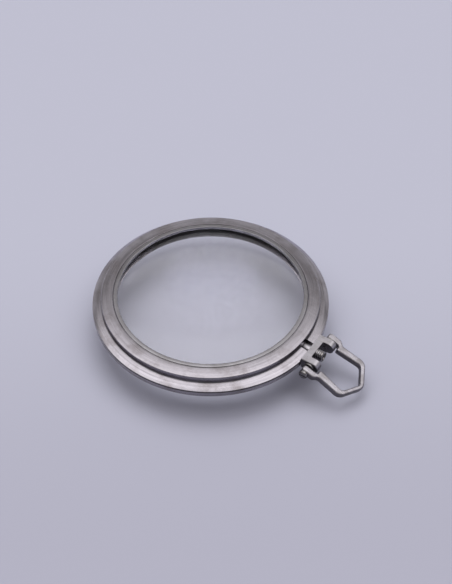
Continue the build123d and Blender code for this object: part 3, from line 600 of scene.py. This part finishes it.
def threadTree():
    # Cuts one V groove that climbs round the Z axis into the surface at Radius, between Start and End, where
    # it runs out gently
    tree, inputs = newTree("cut thread", {
        "Radius": "Float", "Surface Depth": "Float", "Start": "Float", "End": "Float", "Run Out": "Float",
        "Pitch": "Float", "Depth": "Float", "Crest Share": "Float", "Crease Angle": "Float",
        "Material": "Material"})
    where = addNode(tree, "GeometryNodeInputPosition").outputs[0]
    place = addNode(tree, "ShaderNodeSeparateXYZ", None, in0=where)
    angle = addNode(tree, "ShaderNodeMath", {"operation": "ARCTAN2"}, in0=place.outputs["Y"],
                    in1=place.outputs["X"])
    turn = addNode(tree, "ShaderNodeMath", {"operation": "DIVIDE"}, in0=angle.outputs[0], in1=2 * pi)
    along = addNode(tree, "ShaderNodeMath", {"operation": "DIVIDE"}, in0=place.outputs["Z"],
                    in1=inputs["Pitch"])
    climb = addNode(tree, "ShaderNodeMath", {"operation": "SUBTRACT"}, in0=along.outputs[0],
                    in1=turn.outputs[0])
    phase = addNode(tree, "ShaderNodeMath", {"operation": "FRACT"}, in0=climb.outputs[0])
    flank = addNode(tree, "ShaderNodeMapRange", None, Value=phase.outputs[0], From_Min=inputs["Crest Share"],
                    From_Max=1.0, To_Min=-1.0, To_Max=1.0)
    away = addNode(tree, "ShaderNodeMath", {"operation": "ABSOLUTE"}, in0=flank.outputs["Result"])
    groove = addNode(tree, "ShaderNodeMath", {"operation": "SUBTRACT"}, in0=1.0, in1=away.outputs[0])
    flat = addNode(tree, "ShaderNodeCombineXYZ", None, X=place.outputs["X"], Y=place.outputs["Y"])
    reach = addNode(tree, "ShaderNodeVectorMath", {"operation": "LENGTH"}, in0=flat.outputs[0])
    offset = addNode(tree, "ShaderNodeMath", {"operation": "SUBTRACT"}, in0=reach.outputs["Value"],
                     in1=inputs["Radius"])
    outside = addNode(tree, "ShaderNodeMath", {"operation": "COMPARE"}, in0=offset.outputs[0], in1=0.0,
                      in2=inputs["Surface Depth"])
    shares = [groove.outputs[0], outside.outputs[0]]
    for end, operation in (("Start", "ADD"), ("End", "SUBTRACT")):
        full = addNode(tree, "ShaderNodeMath", {"operation": operation}, in0=inputs[end],
                       in1=inputs["Run Out"])
        fade = addNode(tree, "ShaderNodeMapRange", None, Value=place.outputs["Z"], From_Min=inputs[end],
                       From_Max=full.outputs[0])
        shares.append(fade.outputs["Result"])
    cut = inputs["Depth"]
    for share in shares:
        cut = addNode(tree, "ShaderNodeMath", {"operation": "MULTIPLY"}, in0=cut, in1=share).outputs[0]
    inward = addNode(tree, "ShaderNodeVectorMath", {"operation": "NORMALIZE"}, in0=flat.outputs[0])
    lowered = addNode(tree, "ShaderNodeMath", {"operation": "MULTIPLY"}, in0=cut, in1=-1.0)
    shift = addNode(tree, "ShaderNodeVectorMath", {"operation": "SCALE"}, in0=inward.outputs[0],
                    Scale=lowered.outputs[0])
    moved = addNode(tree, "GeometryNodeSetPosition", None, Geometry=inputs["Geometry"],
                    Offset=shift.outputs[0])
    endTree(tree, moved.outputs[0], inputs)
    return tree


def slotTree():
    # Cuts two boxes out of a turned piece
    tree, inputs = newTree("cut slots", {
        "Size A": "Vector", "Place A": "Vector", "Size B": "Vector", "Place B": "Vector",
        "Crease Angle": "Float", "Material": "Material"})
    cut = addNode(tree, "GeometryNodeMeshBoolean", {"operation": "DIFFERENCE", "solver": "EXACT"},
                  in0=inputs["Geometry"])
    for side in "AB":
        block = addNode(tree, "GeometryNodeMeshCube", None, Size=inputs["Size " + side])
        moved = addNode(tree, "GeometryNodeTransform", None, Geometry=block.outputs["Mesh"],
                        Translation=inputs["Place " + side])
        tree.links.new(moved.outputs[0], cut.inputs["Mesh 2"])
    endTree(tree, cut.outputs["Mesh"], inputs)
    return tree


def runTree(kind, mesh, values):
    # Puts a mesh through one tree and gives back the plain mesh that comes out
    tree = trees[kind]
    host = bpy.data.objects.new("host", mesh)
    scene.collection.objects.link(host)
    modifier = host.modifiers.new(kind, "NODES")
    modifier.node_group = tree
    for item in tree.interface.items_tree:
        if item.in_out == "INPUT" and item.name in values:
            modifier[item.identifier] = values[item.name]
    graph = bpy.context.evaluated_depsgraph_get()
    result = bpy.data.meshes.new_from_object(host.evaluated_get(graph))
    host.modifiers.clear()
    bpy.data.objects.remove(host)
    return result


def profileMesh(points, wrap):
    # Points are radius, height and corner radius in millimetres
    mesh = bpy.data.meshes.new("profile")
    ends = [(i, i + 1) for i in range(len(points) - 1)]
    if wrap:
        ends.append((len(points) - 1, 0))
    mesh.from_pydata([(r * mm, 0, z * mm) for r, z, corner in points], ends, [])
    corners = mesh.attributes.new("corner", "FLOAT", "POINT")
    for item, (r, z, corner) in zip(corners.data, points):
        item.value = corner * mm
    return mesh


def turn(points, material, wrap=True, segments=320, roundSteps=4):
    return runTree("turned", profileMesh(points, wrap), {
        "Wrap": int(wrap), "Segments": segments, "Round Steps": roundSteps, "Crease Angle": creaseAngle,
        "Material": material})


def cutSlots(mesh, material, boxes):
    # Each box is its lowest and highest corner in millimetres; a single box is used twice
    values = {"Crease Angle": creaseAngle, "Material": material}
    for side, (low, high) in zip("AB", (boxes * 2)[:2]):
        values["Size " + side] = [(b - a) * mm for a, b in zip(low, high)]
        values["Place " + side] = [(a + b) / 2 * mm for a, b in zip(low, high)]
    return runTree("slots", mesh, values)


def addPiece(name, mesh, body, node, material, place=None):
    # A finished piece that stands for one CAD node, with its faces pointing outwards
    if place is not None:
        mesh.transform(place)
    shell = bmesh.new()
    shell.from_mesh(mesh)
    bmesh.ops.remove_doubles(shell, verts=shell.verts, dist=weldDistance)
    bmesh.ops.recalc_face_normals(shell, faces=shell.faces)
    shell.to_mesh(mesh)
    shell.free()
    mesh.materials.clear()
    mesh.materials.append(material)
    piece = bpy.data.objects.new(name, mesh)
    scene.collection.objects.link(piece)
    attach(piece, body)
    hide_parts(node)
    return piece


def dressCopy(node, body, material):
    # A merged copy of a CAD node that shades smoothly where it curves and crisply at its corners
    mesh = nodes[node].data.copy()
    shell = bmesh.new()
    shell.from_mesh(mesh)
    bmesh.ops.remove_doubles(shell, verts=shell.verts, dist=weldDistance)
    for edge in shell.edges:
        edge.smooth = edge.calc_face_angle(0) < creaseAngle
    for face in shell.faces:
        face.smooth = True
    shell.to_mesh(mesh)
    shell.free()
    return addPiece(node + "Copy", mesh, body, node, material)


trees = {"turned": turnedTree(), "thread": threadTree(), "slots": slotTree()}
covers = {"front": None, "back": Matrix.Scale(-1, 4, (0, 0, 1))}

# Band, pendant and bow: their solids' own shapes, with finer shading
dressCopy("case_band", "case", steels["turned"])
dressCopy("pendant", "case", steels["blasted"])
dressCopy("bow", "bow", steels["milled"])
print("band, pendant and bow dressed")

# Bezel of each cover, as radius, height and corner radius; the back one is drawn upwards and turned over
bezelSpecs = {
    "front": {
        "profile": [(20.67, 2.94, 0.03), (20.56, 2.83, 0.02), (20.56, 2.27, 0.0), (21.6, 2.27, 0.0),
                    (21.6, 1.43, 0.0), (22.44, 1.43, 0.0), (22.44, 0.37, 0.05), (24.45, 0.37, 0.0),
                    (24.45, 0.55, 0.0), (25.0, 0.55, 0.04), (25.0, 0.7, 0.05), (24.1, 1.06, 0.06),
                    (23.1, 1.22, 0.1), (23.1, 2.64, 0.16)],
        "crownBulge": 0.05, "crownSteps": 8,
    },
    "back": {
        "profile": [(22.55, 2.84, 0.04), (22.44, 2.73, 0.03), (22.44, 0.37, 0.05), (25.0, 0.37, 0.04),
                    (25.0, 0.7, 0.05), (24.1, 1.06, 0.06), (23.1, 1.22, 0.1), (23.1, 2.64, 0.16)],
        "crownBulge": 0.0, "crownSteps": 2,
    },
}
bezelCuts = [((21.9, -1.2, -0.5), (26.5, 1.2, 1.32)), ((24.6, -4.1, -0.5), (26.5, 4.1, 3.5))]


def makeBezels(specs):
    for side, spec in specs.items():
        points = list(spec["profile"])
        outer, inner = points[-1], points[0]
        for step in range(1, spec["crownSteps"]):
            share = step / spec["crownSteps"]
            bulge = 4 * spec["crownBulge"] * share * (1 - share)
            points.append((outer[0] + share * (inner[0] - outer[0]),
                           outer[1] + share * (inner[1] - outer[1]) + bulge, 0))
        ring = turn(points, steels["turned"], roundSteps=3)
        ring = cutSlots(ring, steels["turned"], bezelCuts)
        addPiece(side + "Bezel", ring, side + "_cover", side + "_bezel", steels["turned"], covers[side])


makeBezels(bezelSpecs)

# Rim ring, gasket and seal of each cover, and the casing ring
ringSpecs = {
    "rim_ring": {
        "material": steels["rim"], "segments": 320,
        "front": [(19.63, 2.27, 0.05), (20.54, 2.27, 0.0), (20.54, 2.81, 0.03), (20.43, 2.92, 0.03),
                  (19.63, 2.97, 0.08)],
        "back": [(21.86, 2.45, 0.04), (22.42, 2.45, 0.0), (22.42, 2.71, 0.03), (22.31, 2.82, 0.03),
                 (21.86, 2.87, 0.07)],
    },
    "crystal_gasket": {
        "material": blacks["nylon"], "segments": 240,
        "front": [(21.27, 1.25, 0.1), (21.58, 1.25, 0.1), (21.58, 2.25, 0.1), (21.27, 2.25, 0.1)],
        "back": [(22.11, 1.43, 0.1), (22.42, 1.43, 0.1), (22.42, 2.43, 0.1), (22.11, 2.43, 0.1)],
    },
    "cover_seal": {
        "material": blacks["rubber"], "segments": 240,
        "front": [(21.93, 1.17, 0.08), (22.37, 1.17, 0.08), (22.37, 1.41, 0.08), (21.93, 1.41, 0.08)],
    },
}
casingSpec = {
    "profile": [(21.0, -0.7, 0.08), (21.85, -0.7, 0.08), (21.85, 1.1, 0.1), (21.0, 1.1, 0.12)],
    "stemNotch": ((20.5, -0.75, -1.0), (22.5, 0.75, 0.75)),
}


def makeRings(specs):
    for name, spec in specs.items():
        for side, place in covers.items():
            node = side + "_" + name
            ring = turn(spec.get(side, spec["front"]), spec["material"], segments=spec["segments"])
            addPiece(node + "Turned", ring, side + "_cover", node, spec["material"], place)


makeRings(ringSpecs)
casing = cutSlots(turn(casingSpec["profile"], blacks["casing"]), blacks["casing"], [casingSpec["stemNotch"]])
addPiece("casingRing", casing, "case", "casing_ring", blacks["casing"])
print("bezels and rings turned")

# Crystal of each cover: a flat edge and a dome of even thickness; the back one is wider and higher
crystalSpecs = {
    "front": {"footRadius": 19.5, "edgeRadius": 21.25, "bottom": 1.25, "rise": 2.4},
    "back": {"footRadius": 21.73, "edgeRadius": 22.09, "bottom": 1.43, "rise": 3.95},
}
crystalCut = {"thickness": 1.0, "rings": 28, "edgeRounding": 0.1}


def makeCrystals(specs, cut):
    for side, spec in specs.items():
        foot, rise = spec["footRadius"], spec["rise"]
        top = spec["bottom"] + cut["thickness"]
        ball = (foot ** 2 + rise ** 2) / (2 * rise)
        dome = []
        for step in range(cut["rings"] + 1):
            reach = foot * step / cut["rings"]
            dome.append((reach, top + rise - ball + (ball ** 2 - reach ** 2) ** 0.5))
        points = [(r, z, 0) for r, z in dome]
        points += [(spec["edgeRadius"], top, cut["edgeRounding"]),
                   (spec["edgeRadius"], spec["bottom"], cut["edgeRounding"])]
        points += [(r, z - cut["thickness"], 0) for r, z in reversed(dome)]
        disc = turn(points, glass, wrap=False, roundSteps=3)
        addPiece(side + "Crystal", disc, side + "_cover", side + "_crystal", glass, covers[side])


makeCrystals(crystalSpecs, crystalCut)
print("crystals turned")

# Crown tube, along X, with its thread, and the rubber ring in its mouth
tubeSpec = {
    "inner": 21.9, "threadFrom": 26.17, "mouthFloor": 26.6, "end": 27.8, "endChamfer": 0.1,
    "bore": 0.45, "shank": 0.7, "mouth": 0.8, "outside": 1.2,
    "pitch": 0.4, "depth": 0.13, "crest": 0.16, "runOut": 0.1, "surfaceDepth": 0.005,
    "rows": 40, "segments": 128,
    "ringCord": 0.14, "ringGap": 0.02, "ringPoints": 16, "ringSegments": 96,
}


def makeTube(spec):
    along = Matrix.Rotation(radians(90), 4, "Y")
    threadEnd = spec["end"] - spec["endChamfer"]
    points = [(spec["bore"], spec["inner"], 0.05), (spec["shank"], spec["inner"], 0.05),
              (spec["shank"], spec["threadFrom"], 0)]
    for row in range(spec["rows"] + 1):
        share = row / spec["rows"]
        points.append((spec["outside"], spec["threadFrom"] + share * (threadEnd - spec["threadFrom"]), 0))
    points += [(spec["outside"] - spec["endChamfer"], spec["end"], 0.03), (spec["mouth"], spec["end"], 0.05),
               (spec["mouth"], spec["mouthFloor"], 0.05), (spec["bore"], spec["mouthFloor"], 0.03)]
    tube = turn(points, steels["tube"], segments=spec["segments"], roundSteps=2)
    tube = runTree("thread", tube, {
        "Radius": spec["outside"] * mm, "Surface Depth": spec["surfaceDepth"] * mm,
        "Start": spec["threadFrom"] * mm, "End": threadEnd * mm, "Run Out": spec["runOut"] * mm,
        "Pitch": spec["pitch"] * mm, "Depth": spec["depth"] * mm,
        "Crest Share": spec["crest"] / spec["pitch"], "Crease Angle": creaseAngle,
        "Material": steels["tube"]})
    addPiece("crownTube", tube, "case", "crown_tube", steels["tube"], along)

    cord = spec["ringCord"]
    middle = (spec["mouth"] - spec["ringGap"] - cord, spec["mouthFloor"] + spec["ringGap"] + cord)
    angles = [2 * pi * i / spec["ringPoints"] for i in range(spec["ringPoints"])]
    circle = [(middle[0] + cord * cos(angle), middle[1] + cord * sin(angle), 0) for angle in angles]
    ring = turn(circle, blacks["rubber"], segments=spec["ringSegments"], roundSteps=1)
    addPiece("tubeRing", ring, "case", "crown_tube_ring", blacks["rubber"], along)


makeTube(tubeSpec)

# Pivot screws and washers, on the bow's own axis; the profiles count out from the case's middle along Y
pivotSpec = {
    "place": 26.65,
    "segments": 64,
    "headed": [(0, 2.4, 0), (0.45, 2.4, 0.08), (0.45, 5.9, 0), (0.95, 5.9, 0.04), (0.95, 6.47, 0.08),
               (0.77, 6.65, 0.08), (0.4, 6.65, 0), (0, 6.65, 0)],
    "headedSlot": ((-1.5, -0.13, 6.37), (1.5, 0.13, 7.0)),
    "headless": [(0, 2.4, 0), (0.45, 2.4, 0.08), (0.45, 5.85, 0.06), (0, 5.85, 0)],
    "headlessSlot": ((-1.5, -0.13, 5.57), (1.5, 0.13, 6.2)),
    "washer": [(0.5, 3.95, 0.04), (1.12, 3.95, 0.06), (1.12, 4.3, 0.06), (0.5, 4.3, 0.04)],
}


def makePivots(spec):
    at = Matrix.Translation((spec["place"] * mm, 0, 0))
    sides = {"left": at @ Matrix.Rotation(radians(90), 4, "X"),
             "right": at @ Matrix.Rotation(radians(-90), 4, "X")}
    for side, profile, slot in (("left", "headed", "headedSlot"), ("right", "headless", "headlessSlot")):
        screw = turn(spec[profile], steels["screw"], wrap=False, segments=spec["segments"])
        screw = cutSlots(screw, steels["screw"], [spec[slot]])
        addPiece(side + "PivotScrew", screw, "case", "bow_screw_" + side, steels["screw"], sides[side])
        washer = turn(spec["washer"], steels["washer"], segments=spec["segments"])
        addPiece(side + "Washer", washer, "case", "bow_washer_" + side, steels["washer"], sides[side])


makePivots(pivotSpec)
print("tube, screws and washers made")
